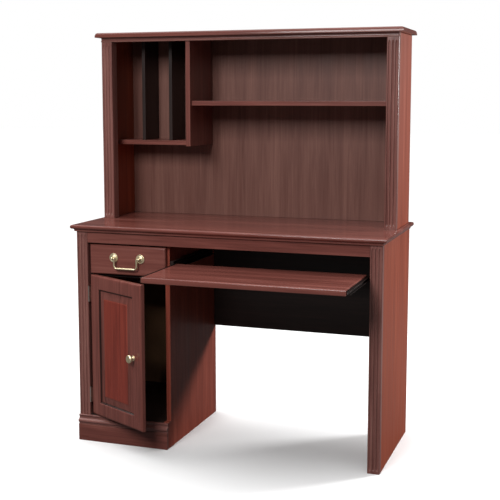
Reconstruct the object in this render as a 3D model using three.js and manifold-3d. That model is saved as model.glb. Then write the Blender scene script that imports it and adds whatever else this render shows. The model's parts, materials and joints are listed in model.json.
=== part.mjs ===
// Computer desk with a hutch, a drawer and cabinet pedestal, and a sliding keyboard tray.
// Flat-pack construction: laminated boards, moulded edges, fluted front posts and brass pulls.
// Millimetres, +Z up. X runs along the desk, and the user sits on the -Y side.
// The origin is on the floor, at the middle of the desk's box with the keyboard tray drawn out.
// The door is drawn ajar and the tray drawn out, as they stand in use; the drawer is shut.

import * as THREE from 'three';
import { mergeVertices } from 'three/addons/utils/BufferGeometryUtils.js';
import Module from 'manifold-3d';

const wasm = await Module();
wasm.setup();

// ---------------------------------------------------------------- driving dimensions

const GAP = 0.3;                 // clearance between boards that touch
const BOARD = 16;                // laminated particle board
const HARDBOARD = 3;             // thin backs and the drawer bottom

const CASE_W = 1054;             // over the two end panels
const CASE_D = 446;              // from the posts' front faces to the back
const TOP_Z = 750;               // height of the worktop
const TOP_T = 22;
const TOP_REACH_SIDE = 15;       // how far the worktop stands out past the end panels
const TOP_REACH_FRONT = 18.5;

const POST_W = 40;               // fluted post: face width
const POST_T = 20;               // thickness of its front part
const POST_DEPTH = 38;           // with the flange that is screwed to the end panel
const POST_CORNER = 3;
const FLUTE_COUNT = 3;
const FLUTE_PITCH = 11.5;
const FLUTE_HALF = 3.2;
const FLUTE_DEPTH = 2.4;

const APRON_H = 38;
const APRON_SET = 1;             // apron face behind the posts' faces
const MODESTY_BOTTOM = 336;

const PEDESTAL_W = 333;          // outer face of the left end to the outer face of the partition
const CARCASS_SET = 24;          // front edges of the pedestal's boards behind the post faces
const FLOOR_TOP = 92;            // top of the cabinet floor
const DIVIDER_Z = 574;           // underside of the board between the cabinet and the drawer

const PLINTH_T = 10;
const PLINTH_H = 57;
const PLINTH_CAP_H = 33;

const FRONT_T = 16;              // drawer front and door
const FRONT_SET = 6;             // their faces behind the posts' faces
const DRAWER_GAP = 6;            // post to drawer front
const DOOR_GAP = 4;              // post to door: room for the hinge leaves
const DRAWER_FRONT_W = 279;
const DOOR_W = 281;
const DRAWER_Z = [584, 684];
const DOOR_Z = [93, 580];
const DOOR_AJAR = 27.6;          // degrees

const DRAWER_WALL = 12;
const DRAWER_BOX_Z = [598, 668];
const DRAWER_BOX_D = 380;
const BOTTOM_UP = 4;             // drawer bottom above the lower edges of its sides
const PACKER_H = 30;             // packing boards behind the slides

const SLIDE_W = 12.7;            // side clearance that a pair of slide members fills
const SLIDE_METAL = 1.2;
const DRAWER_SLIDE_H = { fixed: 26, moving: 21 };
const TRAY_SLIDE_H = { fixed: 17, moving: 12.5 };
const SLIDE_LEN = 350;
const SLIDE_START = 3;           // fixed slides behind the carcass front

const TRAY_OUT = 253;            // tray front edge in front of the posts' faces
const TRAY_D = 274;
const TRAY_T = 18;
const TRAY_TOP = 631;
const TRAY_SPACER = 12;          // packing on the partition behind the left slide
const TRAY_SLIDE_DOWN = 9;       // middle of the tray's slides below its top face
const TRAY_SLIDE_BACK = 9;       // front ends of the moving slides behind the tray's edge

const HINGE_Z = [161, 513];      // middles of the two hinges
const HINGE_H = 52;
const HINGE_LEAF_T = 1;
const KNUCKLE_R = 2.2;
const KNUCKLE_BORE = 1.2;
const PIN_R = 0.9;
const PIVOT_SET = 1;             // hinge axis behind the posts' faces

const PULL_CENTRES = 98;
const PULL_Z = 642;
const PULL_STAND = 15;           // bail pivots in front of the drawer's face
const BAIL_DROP = 33;
const BAIL_ROD_R = 2.9;
const KNOB_X = 239;              // from the door's hinged edge
const KNOB_Z = 333;

const CATCH_W = 44;
const CATCH_H = 12;
const CATCH_D = 14;
const CATCH_SIDE = 8;            // catch to pedestal partition

const HUTCH_TOP_Z = 1401;
const HUTCH_SET = 205;           // hutch post faces behind the desk's post faces
const HUTCH_D = 222;
const HUTCH_CAP_T = 16;
const HUTCH_CAP_REACH = 17;
const CORNICE_H = 16;
const CORNICE_REACH = 2;
const HUTCH_PARTITION_SET = 5;
const SHELF_LEFT_TOP = 1026;
const SHELF_LEFT_SET = 90;
const SHELF_RIGHT_TOP = 1166;
const SHELF_RIGHT_SET = 18;
const DIVIDER_T = 12;
const DIVIDER_SET = 100;

// ---------------------------------------------------------------- places worked out from them

const FACE_Y = (TRAY_OUT - CASE_D) / 2;              // post faces
const BACK_Y = FACE_Y + CASE_D;
const HALF_W = CASE_W / 2;
const INNER_X = HALF_W - BOARD;                      // inner faces of the end panels
const POST_X = HALF_W - POST_W;                      // inner edges of the posts
const UNDER_TOP = TOP_Z - TOP_T;
const PARTITION_X = -HALF_W + PEDESTAL_W;            // kneehole face of the pedestal
const PARTITION_IN = PARTITION_X - BOARD;
const CARCASS_Y = FACE_Y + CARCASS_SET;
const FRONT_Y = FACE_Y + FRONT_SET;
const DRAWER_X = -POST_X + DRAWER_GAP;
const HUTCH_Y = FACE_Y + HUTCH_SET;
const HUTCH_BACK_Y = HUTCH_Y + HUTCH_D;
const HUTCH_CAP_Z = HUTCH_TOP_Z - HUTCH_CAP_T;
const CORNICE_Z = HUTCH_CAP_Z - CORNICE_H;
const PIVOT = [-POST_X + DOOR_GAP / 2, FACE_Y + PIVOT_SET];

// ---------------------------------------------------------------- finishes

const finish = (color, roughness, metalness = 0) =>
  new THREE.MeshStandardMaterial({ color, roughness, metalness });

const CHERRY = finish(0x6e3a34, 0.35);
const CHERRY_END = finish(0x8a4a3c, 0.35);
const CHERRY_MOULDING = finish(0x7c4a44, 0.3);
const INTERIOR = finish(0x4a2a25, 0.5);
const RAW_BOARD = finish(0x9a7a58, 0.8);
const BRASS = finish(0xd8c28a, 0.3, 1);
const NICKEL = finish(0xbdb8ae, 0.35, 1);
const ZINC = finish(0xa9aaa8, 0.45, 1);
const PAINTED_STEEL = finish(0x2e2421, 0.5, 1);
const PLASTIC = finish(0x2b1d1a, 0.55);

// ---------------------------------------------------------------- shape helpers

const desk = new THREE.Group();
desk.name = 'computer_desk_with_hutch';

function add(name, geometry, material, parent = desk) {
  const mesh = new THREE.Mesh(geometry, material);
  mesh.name = name;
  parent.add(mesh);
  return mesh;
}

// Rectangular board given by its lowest and highest corner.
function board([x0, y0, z0], [x1, y1, z1]) {
  const geometry = new THREE.BoxGeometry(x1 - x0, y1 - y0, z1 - z0);
  geometry.translate((x0 + x1) / 2, (y0 + y1) / 2, (z0 + z1) / 2);
  return geometry;
}

// Closed solid through a stack of rectangles [u0, u1, v0, v1, w], with w rising.
// toXYZ turns (u, v, w) into x, y, z and keeps the hand.
function ringSolid(rings, toXYZ) {
  const corners = rings.flatMap(([u0, u1, v0, v1, w]) =>
    [[u0, v0, w], [u1, v0, w], [u1, v1, w], [u0, v1, w]]);
  const faces = [0, 2, 1, 0, 3, 2];
  for (let ring = 0; ring < rings.length - 1; ring++) {
    for (let side = 0; side < 4; side++) {
      const a = 4 * ring + side;
      const b = 4 * ring + ((side + 1) % 4);
      faces.push(a, b, b + 4, a, b + 4, a + 4);
    }
  }
  const last = 4 * (rings.length - 1);
  faces.push(last, last + 1, last + 2, last, last + 2, last + 3);
  const geometry = new THREE.BufferGeometry();
  const positions = corners.flatMap((corner) => toXYZ(...corner));
  geometry.setAttribute('position', new THREE.Float32BufferAttribute(positions, 3));
  geometry.setIndex(faces);
  return geometry;
}

// Level slab with its front and side edges moulded. The profile lists [inset, drop] from the
// top face down, and the back edge stays square.
function mouldedTop(x0, x1, y0, y1, top, profile) {
  const rings = profile.map(([inset, drop]) => [x0 + inset, x1 - inset, y0 + inset, y1, top - drop]);
  return ringSolid(rings.reverse(), (u, v, w) => [u, v, w]);
}

// Upright panel facing -Y with all four edges moulded. The profile lists [inset, depth behind
// the front plane] from the back face to the middle of the front.
function mouldedFront(x0, x1, z0, z1, front, profile) {
  const rings = profile.map(([inset, depth]) =>
    [x0 + inset, x1 - inset, z0 + inset, z1 - inset, -(front + depth)]);
  return ringSolid(rings, (u, v, w) => [u, -w, v]);
}

// Points on an arc from angle a0 to angle a1, in radians.
function arc(cx, cy, rx, ry, a0, a1, steps) {
  return Array.from({ length: steps + 1 }, (_, i) => {
    const angle = a0 + ((a1 - a0) * i) / steps;
    return [cx + rx * Math.cos(angle), cy + ry * Math.sin(angle)];
  });
}

const ALONG_X = new THREE.Matrix4().makeBasis(
  new THREE.Vector3(0, 1, 0), new THREE.Vector3(0, 0, 1), new THREE.Vector3(1, 0, 0));
const ALONG_Y = new THREE.Matrix4().makeBasis(
  new THREE.Vector3(0, 0, 1), new THREE.Vector3(1, 0, 0), new THREE.Vector3(0, 1, 0));
const ALONG_Z = new THREE.Matrix4();

// Outline carried straight along one axis. ALONG_X takes [y, z] points, ALONG_Y takes [z, x]
// points and ALONG_Z takes [x, y] points.
function extruded(outline, start, end, direction, holes = []) {
  const shape = new THREE.Shape(outline.map(([a, b]) => new THREE.Vector2(a, b)));
  shape.holes = holes.map((hole) => new THREE.Path(hole.map(([a, b]) => new THREE.Vector2(a, b))));
  const geometry = new THREE.ExtrudeGeometry(shape, { depth: end - start, bevelEnabled: false });
  geometry.translate(0, 0, start);
  geometry.applyMatrix4(direction);
  return geometry;
}

// Solid turned about a line that leaves `base` along -Y. The profile lists [radius, height].
function turned(profile, [x, y, z], segments) {
  const points = profile.map(([radius, height]) => new THREE.Vector2(radius, height));
  const geometry = new THREE.LatheGeometry(points, segments);
  geometry.rotateX(Math.PI);
  geometry.translate(x, y, z);
  return geometry;
}

function toSolid(geometry) {
  const bare = geometry.clone();
  bare.deleteAttribute('normal');
  bare.deleteAttribute('uv');
  const merged = mergeVertices(bare, 1e-4);
  return new wasm.Manifold(new wasm.Mesh({
    numProp: 3,
    vertProperties: new Float32Array(merged.attributes.position.array),
    triVerts: new Uint32Array(merged.index.array),
  }));
}

function fromSolid(solid) {
  const { vertProperties, triVerts } = solid.getMesh();
  const geometry = new THREE.BufferGeometry();
  geometry.setAttribute('position', new THREE.Float32BufferAttribute(vertProperties, 3));
  geometry.setIndex(Array.from(triVerts));
  return geometry;
}

function joined(...geometries) {
  return fromSolid(geometries.map(toSolid).reduce((whole, next) => whole.add(next)));
}

// ---------------------------------------------------------------- edge profiles

const QUARTER = Math.PI / 2;

// Worktop edge: a round nose high on the edge, a hollow under it and a straight foot.
const WORKTOP_EDGE = [
  ...arc(6, 6.5, 6, 6.5, -QUARTER, -Math.PI, 4),
  ...arc(6, 6.5, 6, 7, Math.PI, QUARTER, 4).slice(1),
  ...arc(6, 18.5, 5, 5, -QUARTER, 0, 3).slice(1),
  [11, TOP_T],
];

// Hutch cap edge: one long rounded slope down to a sharp lower edge.
const CAP_EDGE = [
  ...arc(8, 14, 8, 14, -QUARTER, -Math.PI, 6),
  [0, HUTCH_CAP_T],
];

// Tray edge: rounded top and a small rounding below.
const TRAY_EDGE = [
  ...arc(5, 5, 5, 5, -QUARTER, -Math.PI, 3),
  [0, TRAY_T - 2],
  [2, TRAY_T],
];

// Drawer front: square back, then a wide rounding up to the flat face.
const ROUNDED_EDGE = [
  [0, FRONT_T],
  ...arc(9, 6, 9, 6, Math.PI, 1.5 * Math.PI, 4),
];

// Door: the same edge, then a frame, a quirk, a sloping field border and the raised field.
const DOOR_FACE = [
  ...ROUNDED_EDGE,
  [44, 0],
  [47, 1.8],
  [49, 5.2],
  [51, 5.6],
  [76, 1.4],
  [77, 0.2],
];

// ---------------------------------------------------------------- desk carcass

// Outline of a post, with x measured in from the outer side. Three round flutes run down the
// face, and the flange behind it laps onto the inner side of the end panel.
function postOutline() {
  const fluteR = (FLUTE_HALF ** 2 + FLUTE_DEPTH ** 2) / (2 * FLUTE_DEPTH);
  const lip = Math.asin((fluteR - FLUTE_DEPTH) / fluteR);
  const outline = arc(POST_CORNER, POST_CORNER, POST_CORNER, POST_CORNER, Math.PI, 1.5 * Math.PI, 3);
  for (let i = 0; i < FLUTE_COUNT; i++) {
    const middle = POST_W / 2 + (i - (FLUTE_COUNT - 1) / 2) * FLUTE_PITCH;
    outline.push(...arc(middle, FLUTE_DEPTH - fluteR, fluteR, fluteR, Math.PI - lip, lip, 5));
  }
  outline.push(...arc(POST_W - POST_CORNER, POST_CORNER, POST_CORNER, POST_CORNER, -QUARTER, 0, 3));
  outline.push([POST_W, POST_DEPTH], [BOARD + GAP, POST_DEPTH], [BOARD + GAP, POST_T], [0, POST_T]);
  return outline;
}

// side is -1 for the left post and +1 for the right one.
function post(side, face, z0, z1) {
  const outline = postOutline().map(([x, y]) => [side * (HALF_W - x), face + y]);
  return extruded(outline, z0, z1, ALONG_Z);
}

add('worktop', mouldedTop(-HALF_W - TOP_REACH_SIDE, HALF_W + TOP_REACH_SIDE,
  FACE_Y - TOP_REACH_FRONT, BACK_Y, TOP_Z, WORKTOP_EDGE), CHERRY);

for (const [name, side] of [['left', -1], ['right', 1]]) {
  const xs = [side * HALF_W, side * INNER_X].sort((a, b) => a - b);
  add(`${name}_end_panel`,
    board([xs[0], FACE_Y + POST_T + GAP, 0], [xs[1], BACK_Y, UNDER_TOP - GAP]), CHERRY_END);
  add(`${name}_post`, post(side, FACE_Y, 0, UNDER_TOP - GAP), CHERRY_MOULDING);
}

add('apron_rail', board([-POST_X + GAP, FACE_Y + APRON_SET, UNDER_TOP - APRON_H],
  [POST_X - GAP, FACE_Y + APRON_SET + BOARD, UNDER_TOP - GAP]), CHERRY);
add('modesty_panel', board([PARTITION_X + GAP, BACK_Y - BOARD, MODESTY_BOTTOM],
  [INNER_X - GAP, BACK_Y, UNDER_TOP - GAP]), INTERIOR);

// ---------------------------------------------------------------- pedestal

// The partition's foot reaches forward to the plinth; above it the drawer front and the door
// lap over its front edge.
add('pedestal_partition', extruded([
  [FACE_Y, 0], [BACK_Y, 0], [BACK_Y, UNDER_TOP - GAP], [CARCASS_Y, UNDER_TOP - GAP],
  [CARCASS_Y, FLOOR_TOP], [FACE_Y, FLOOR_TOP],
], PARTITION_IN, PARTITION_X, ALONG_X), CHERRY_END);

// Level board between an end panel and a partition, notched round the post's flange.
// outer is the end panel's inner face, inner is the far end, front is the front edge.
function notchedBoard(outer, inner, face, front, back, z0, z1) {
  const side = Math.sign(outer);
  const end = outer - side * GAP;
  const flange = side * (POST_X - GAP);
  const behind = face + POST_DEPTH + GAP;
  const outline = [
    [inner, front], [flange, front], [flange, behind], [end, behind], [end, back], [inner, back],
  ];
  return extruded(outline, z0, z1, ALONG_Z);
}

const pedestalBack = BACK_Y - HARDBOARD - GAP;
add('cabinet_floor', notchedBoard(-INNER_X, PARTITION_IN - GAP, FACE_Y, FACE_Y,
  pedestalBack, FLOOR_TOP - BOARD, FLOOR_TOP), INTERIOR);
add('drawer_divider', notchedBoard(-INNER_X, PARTITION_IN - GAP, FACE_Y, CARCASS_Y,
  pedestalBack, DIVIDER_Z, DIVIDER_Z + BOARD), INTERIOR);
add('pedestal_back', board([-INNER_X + GAP, BACK_Y - HARDBOARD, 0],
  [PARTITION_IN - GAP, BACK_Y, UNDER_TOP - GAP]), RAW_BOARD);

const plinthBack = FACE_Y - GAP;
add('plinth_board', board([-HALF_W, plinthBack - PLINTH_T, 0], [PARTITION_X, plinthBack, PLINTH_H]), CHERRY);

// Base cap moulding: a bead at the top, a hollow, and a larger bead over a quirk.
const plinthCap = [
  [0, PLINTH_CAP_H],
  ...arc(-3, PLINTH_CAP_H - 3.5, 3.5, 3.5, QUARTER, 1.5 * Math.PI, 5),
  ...arc(-9.5, PLINTH_CAP_H - 7, 6, 9, 0, -QUARTER, 4),
  ...arc(-8, 11.5, 4, 5.5, 0.6 * Math.PI, 1.5 * Math.PI, 5),
  [-6.5, 5.5],
  [-6.5, GAP],
  [0, GAP],
];
add('plinth_cap_moulding', extruded(plinthCap.map(([y, z]) => [plinthBack + y, PLINTH_H + z]),
  -HALF_W, PARTITION_X, ALONG_X), CHERRY_MOULDING);

// ---------------------------------------------------------------- slides

// Outline of one slide member: a channel whose web stands at x = web and whose lips reach
// `reach` in the direction `toward`.
function slideChannel(web, toward, middle, height, reach) {
  const half = height / 2;
  return [
    [middle - half, web], [middle + half, web], [middle + half, web + toward * reach],
    [middle + half - SLIDE_METAL, web + toward * reach],
    [middle + half - SLIDE_METAL, web + toward * SLIDE_METAL],
    [middle - half + SLIDE_METAL, web + toward * SLIDE_METAL],
    [middle - half + SLIDE_METAL, web + toward * reach],
    [middle - half, web + toward * reach],
  ];
}

// A pair of slide members along Y whose channels face each other. `wall` is the face that
// carries the fixed member.
function slidePair(name, wall, toward, middle, movingY, heights, metal) {
  const fixedY = CARCASS_Y + SLIDE_START;
  const reach = SLIDE_W - 4 * GAP - SLIDE_METAL;
  const web = wall + toward * GAP;
  const far = wall + toward * (SLIDE_W - GAP);
  add(`${name}_fixed`, extruded(slideChannel(web, toward, middle, heights.fixed, reach),
    fixedY, fixedY + SLIDE_LEN, ALONG_Y), metal);
  add(`${name}_moving`, extruded(slideChannel(far, -toward, middle, heights.moving, reach),
    movingY, movingY + SLIDE_LEN, ALONG_Y), metal);
}

// ---------------------------------------------------------------- drawer

const BOX_X = [-POST_X + SLIDE_W, PARTITION_IN - SLIDE_W];
const BOX_Y = [FRONT_Y + FRONT_T + GAP, FRONT_Y + FRONT_T + DRAWER_BOX_D];
const drawerMiddle = (DRAWER_BOX_Z[0] + DRAWER_BOX_Z[1]) / 2;

add('drawer_front', mouldedFront(DRAWER_X, DRAWER_X + DRAWER_FRONT_W, DRAWER_Z[0], DRAWER_Z[1],
  FRONT_Y, ROUNDED_EDGE), CHERRY);
add('drawer_left_side', board([BOX_X[0], BOX_Y[0], DRAWER_BOX_Z[0]],
  [BOX_X[0] + DRAWER_WALL, BOX_Y[1], DRAWER_BOX_Z[1]]), INTERIOR);
add('drawer_right_side', board([BOX_X[1] - DRAWER_WALL, BOX_Y[0], DRAWER_BOX_Z[0]],
  [BOX_X[1], BOX_Y[1], DRAWER_BOX_Z[1]]), INTERIOR);
const boxInside = [BOX_X[0] + DRAWER_WALL + GAP, BOX_X[1] - DRAWER_WALL - GAP];
add('drawer_back', board([boxInside[0], BOX_Y[1] - DRAWER_WALL, DRAWER_BOX_Z[0]],
  [boxInside[1], BOX_Y[1], DRAWER_BOX_Z[1]]), INTERIOR);
add('drawer_bottom', board([boxInside[0], BOX_Y[0], DRAWER_BOX_Z[0] + BOTTOM_UP],
  [boxInside[1], BOX_Y[1] - DRAWER_WALL - GAP, DRAWER_BOX_Z[0] + BOTTOM_UP + HARDBOARD]), RAW_BOARD);

// Packing brings the left slide out flush with the post, so the drawer clears it.
add('drawer_slide_packer', board([-INNER_X + GAP, FACE_Y + POST_DEPTH + GAP, drawerMiddle - PACKER_H / 2],
  [-POST_X, FACE_Y + POST_DEPTH + SLIDE_LEN, drawerMiddle + PACKER_H / 2]), RAW_BOARD);
slidePair('drawer_slide_left', -POST_X, 1, drawerMiddle, BOX_Y[0] + 1, DRAWER_SLIDE_H, ZINC);
slidePair('drawer_slide_right', PARTITION_IN, -1, drawerMiddle, BOX_Y[0] + 1, DRAWER_SLIDE_H, ZINC);

// Bail pull: two turned rosettes with round heads, and a bail that swings between them.
const PULL_X = DRAWER_X + DRAWER_FRONT_W / 2;
const HEAD_R = 5;
const rosette = [
  [0, GAP], [15.5, GAP], [15.5, 1.6], [12.5, 3.2], [10.5, 2.6], [6.5, 4], [3.6, 6.5], [3.1, 9.5],
  ...arc(0, PULL_STAND, HEAD_R, HEAD_R, -0.9, QUARTER, 6).slice(0, -1),
  [0, PULL_STAND + HEAD_R],
];
for (const [name, side] of [['left', -1], ['right', 1]]) {
  const centre = [PULL_X + (side * PULL_CENTRES) / 2, FRONT_Y, PULL_Z];
  add(`pull_rosette_${name}`, turned(rosette, centre, 20), BRASS);
}

const bailY = FRONT_Y - PULL_STAND;
const bailHalf = PULL_CENTRES / 2 - HEAD_R - GAP;
const armX = bailHalf - 1.5;
const bailSide = [[bailHalf, 0, 0], [bailHalf - 1.2, 0, 0], [armX - 1.2, 0, -3.5], [armX - 0.6, 0, -12],
  [armX - 0.4, 0, -BAIL_DROP + 9], [armX - 7, 0, -BAIL_DROP]];
const bailPath = new THREE.CatmullRomCurve3([
  ...bailSide.map(([x, y, z]) => [-x, y, z]),
  [0, 0, -BAIL_DROP],
  ...bailSide.reverse(),
].map(([x, y, z]) => new THREE.Vector3(PULL_X + x, bailY + y, PULL_Z + z)), false, 'centripetal');
const rodSection = new THREE.Shape(
  arc(0, 0, BAIL_ROD_R, BAIL_ROD_R, 0, 2 * Math.PI, 8).slice(0, 8).map(([a, b]) => new THREE.Vector2(a, b)));
add('bail_handle', new THREE.ExtrudeGeometry(rodSection, { steps: 36, extrudePath: bailPath }), BRASS);

// ---------------------------------------------------------------- door and hinges

// Everything on the door is placed as if it were shut, relative to the hinge axis.
const door = new THREE.Group();
door.position.set(PIVOT[0], PIVOT[1], 0);
door.rotation.z = THREE.MathUtils.degToRad(-DOOR_AJAR);
desk.add(door);

const doorX = DOOR_GAP / 2;
const doorY = FRONT_Y - PIVOT[1];
add('door_panel', mouldedFront(doorX, doorX + DOOR_W, DOOR_Z[0], DOOR_Z[1], doorY, DOOR_FACE), CHERRY, door);

const knob = [
  [0, GAP], [9, GAP], [9, 2], [6.5, 3.4], [4.8, 5], [4.4, 10],
  ...arc(0, 18.5, 13, 8.5, -0.95, QUARTER, 8).slice(0, -1),
  [0, 27],
];
add('door_knob', turned(knob, [doorX + KNOB_X, doorY, KNOB_Z], 20), BRASS, door);

const knuckleRing = arc(0, 0, KNUCKLE_R, KNUCKLE_R, 0, 2 * Math.PI, 12).slice(0, 12);
const boreRing = arc(0, 0, KNUCKLE_BORE, KNUCKLE_BORE, 0, 2 * Math.PI, 12).slice(0, 12);
const knuckle = (z0, z1) => extruded(knuckleRing, z0, z1, ALONG_Z, [boreRing]);
const LEAF_START = KNUCKLE_R + 0.5;
const LEAF_END = 16;
const KNUCKLE_SPLIT = HINGE_H / 6;

// Leaf plate between two x faces, with tabs at the given heights that reach in to its knuckles.
function hingeLeaf(x0, x1, middle, spans) {
  const plate = board([x0, LEAF_START, middle - HINGE_H / 2], [x1, LEAF_END, middle + HINGE_H / 2]);
  const parts = spans.flatMap(([a, b]) => [
    board([x0, KNUCKLE_BORE + 0.2, middle + a], [x1, LEAF_START + 0.5, middle + b]),
    knuckle(middle + a, middle + b),
  ]);
  return joined(plate, ...parts);
}

for (const [name, middle] of [['lower', HINGE_Z[0]], ['upper', HINGE_Z[1]]]) {
  const outer = -DOOR_GAP / 2 + GAP;
  const inner = DOOR_GAP / 2 - GAP;
  const fixed = add(`hinge_${name}_post_leaf`, hingeLeaf(outer, outer + HINGE_LEAF_T, middle,
    [[-HINGE_H / 2, -KNUCKLE_SPLIT], [KNUCKLE_SPLIT, HINGE_H / 2]]), NICKEL);
  fixed.position.set(PIVOT[0], PIVOT[1], 0);
  add(`hinge_${name}_door_leaf`, hingeLeaf(inner - HINGE_LEAF_T, inner, middle,
    [[-KNUCKLE_SPLIT + GAP, KNUCKLE_SPLIT - GAP]]), NICKEL, door);
  const pin = extruded(arc(0, 0, PIN_R, PIN_R, 0, 2 * Math.PI, 10).slice(0, 10),
    middle - HINGE_H / 2, middle + HINGE_H / 2 + GAP + 0.2, ALONG_Z);
  const head = extruded(arc(0, 0, KNUCKLE_R, KNUCKLE_R, 0, 2 * Math.PI, 12).slice(0, 12),
    middle + HINGE_H / 2 + GAP, middle + HINGE_H / 2 + 1.8, ALONG_Z);
  const hingePin = add(`hinge_${name}_pin`, joined(pin, head), NICKEL);
  hingePin.position.set(PIVOT[0], PIVOT[1], 0);
}

// Magnetic catch under the divider, and its strike on the back of the door.
const CATCH_X = [PARTITION_IN - CATCH_SIDE - CATCH_W, PARTITION_IN - CATCH_SIDE];
const STRIKE_IN = 4;
add('magnet_catch', board([CATCH_X[0], FACE_Y + POST_DEPTH + GAP, DIVIDER_Z - CATCH_H],
  [CATCH_X[1], FACE_Y + POST_DEPTH + CATCH_D, DIVIDER_Z - GAP]), PLASTIC);
const strikeY = doorY + FRONT_T + GAP;
add('catch_strike', board([CATCH_X[0] + STRIKE_IN - PIVOT[0], strikeY, DIVIDER_Z - CATCH_H - 2],
  [CATCH_X[1] - STRIKE_IN - PIVOT[0], strikeY + 1, DIVIDER_Z + 1]), NICKEL, door);

// ---------------------------------------------------------------- keyboard tray

const TRAY_X = [PARTITION_X + TRAY_SPACER + SLIDE_W, POST_X - SLIDE_W - GAP];
const trayFront = FACE_Y - TRAY_OUT;
const trayMiddle = TRAY_TOP - TRAY_SLIDE_DOWN;
const trayPacking = [trayMiddle - PACKER_H / 2, trayMiddle + PACKER_H / 2];
const packingBack = CARCASS_Y + SLIDE_LEN;
add('keyboard_tray',
  mouldedTop(TRAY_X[0], TRAY_X[1], trayFront, trayFront + TRAY_D, TRAY_TOP, TRAY_EDGE), CHERRY);
add('tray_slide_spacer', board([PARTITION_X + GAP, CARCASS_Y + SLIDE_START, trayPacking[0]],
  [PARTITION_X + TRAY_SPACER, packingBack, trayPacking[1]]), INTERIOR);
add('tray_slide_packer', board([POST_X, FACE_Y + POST_DEPTH + GAP, trayPacking[0]],
  [INNER_X - GAP, packingBack, trayPacking[1]]), INTERIOR);
const traySlideY = trayFront + TRAY_SLIDE_BACK;
slidePair('tray_slide_left', PARTITION_X + TRAY_SPACER, 1, trayMiddle, traySlideY, TRAY_SLIDE_H,
  PAINTED_STEEL);
slidePair('tray_slide_right', POST_X, -1, trayMiddle, traySlideY, TRAY_SLIDE_H, PAINTED_STEEL);

// ---------------------------------------------------------------- hutch

const HUTCH_FOOT = TOP_Z + GAP;
const hutchInside = HUTCH_BACK_Y - HARDBOARD - GAP;

add('hutch_top', mouldedTop(-HALF_W - HUTCH_CAP_REACH, HALF_W + HUTCH_CAP_REACH,
  HUTCH_Y - HUTCH_CAP_REACH, HUTCH_BACK_Y, HUTCH_TOP_Z, CAP_EDGE), CHERRY);

// Cornice under the cap, planted on the tops of the posts: a hollow between two small beads.
const cornice = [
  [POST_T, 0],
  [POST_T, CORNICE_H - GAP],
  [-CORNICE_REACH, CORNICE_H - GAP],
  ...arc(-CORNICE_REACH, 8.5, 3.5, 5, QUARTER, -QUARTER, 5),
  [-CORNICE_REACH, 1],
  [0, 0],
];
add('hutch_cornice', extruded(cornice.map(([y, z]) => [HUTCH_Y + y, CORNICE_Z + GAP + z]),
  -HALF_W, HALF_W, ALONG_X), CHERRY_MOULDING);

for (const [name, side] of [['left', -1], ['right', 1]]) {
  const xs = [side * HALF_W, side * INNER_X].sort((a, b) => a - b);
  add(`hutch_${name}_side`, board([xs[0], HUTCH_Y + POST_T + GAP, HUTCH_FOOT],
    [xs[1], HUTCH_BACK_Y, HUTCH_CAP_Z - GAP]), CHERRY_END);
  add(`hutch_${name}_post`, post(side, HUTCH_Y, HUTCH_FOOT, CORNICE_Z), CHERRY_MOULDING);
}

add('hutch_back', board([-INNER_X + GAP, HUTCH_BACK_Y - HARDBOARD, HUTCH_FOOT],
  [INNER_X - GAP, HUTCH_BACK_Y, HUTCH_CAP_Z - GAP]), INTERIOR);
const partitionFront = HUTCH_Y + HUTCH_PARTITION_SET;
const behindCornice = HUTCH_Y + POST_T + GAP;
add('hutch_partition', extruded([
  [partitionFront, SHELF_LEFT_TOP - BOARD], [hutchInside, SHELF_LEFT_TOP - BOARD],
  [hutchInside, HUTCH_CAP_Z - GAP], [behindCornice, HUTCH_CAP_Z - GAP],
  [behindCornice, CORNICE_Z], [partitionFront, CORNICE_Z],
], PARTITION_IN, PARTITION_X, ALONG_X), CHERRY);
add('hutch_shelf_left', board([-INNER_X + GAP, HUTCH_Y + SHELF_LEFT_SET, SHELF_LEFT_TOP - BOARD],
  [PARTITION_IN - GAP, hutchInside, SHELF_LEFT_TOP]), CHERRY);
add('hutch_shelf_right', notchedBoard(INNER_X, PARTITION_X + GAP, HUTCH_Y, HUTCH_Y + SHELF_RIGHT_SET,
  hutchInside, SHELF_RIGHT_TOP - BOARD, SHELF_RIGHT_TOP), CHERRY);

const bayWidth = (PARTITION_IN + INNER_X - 2 * DIVIDER_T) / 3;
for (const [i, name] of ['left', 'right'].entries()) {
  const x = -INNER_X + (i + 1) * bayWidth + i * DIVIDER_T;
  add(`bay_divider_${name}`, board([x, HUTCH_Y + DIVIDER_SET, SHELF_LEFT_TOP + GAP],
    [x + DIVIDER_T, hutchInside, HUTCH_CAP_Z - GAP]), INTERIOR);
}

export default desk;
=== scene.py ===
import json
import math

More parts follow.
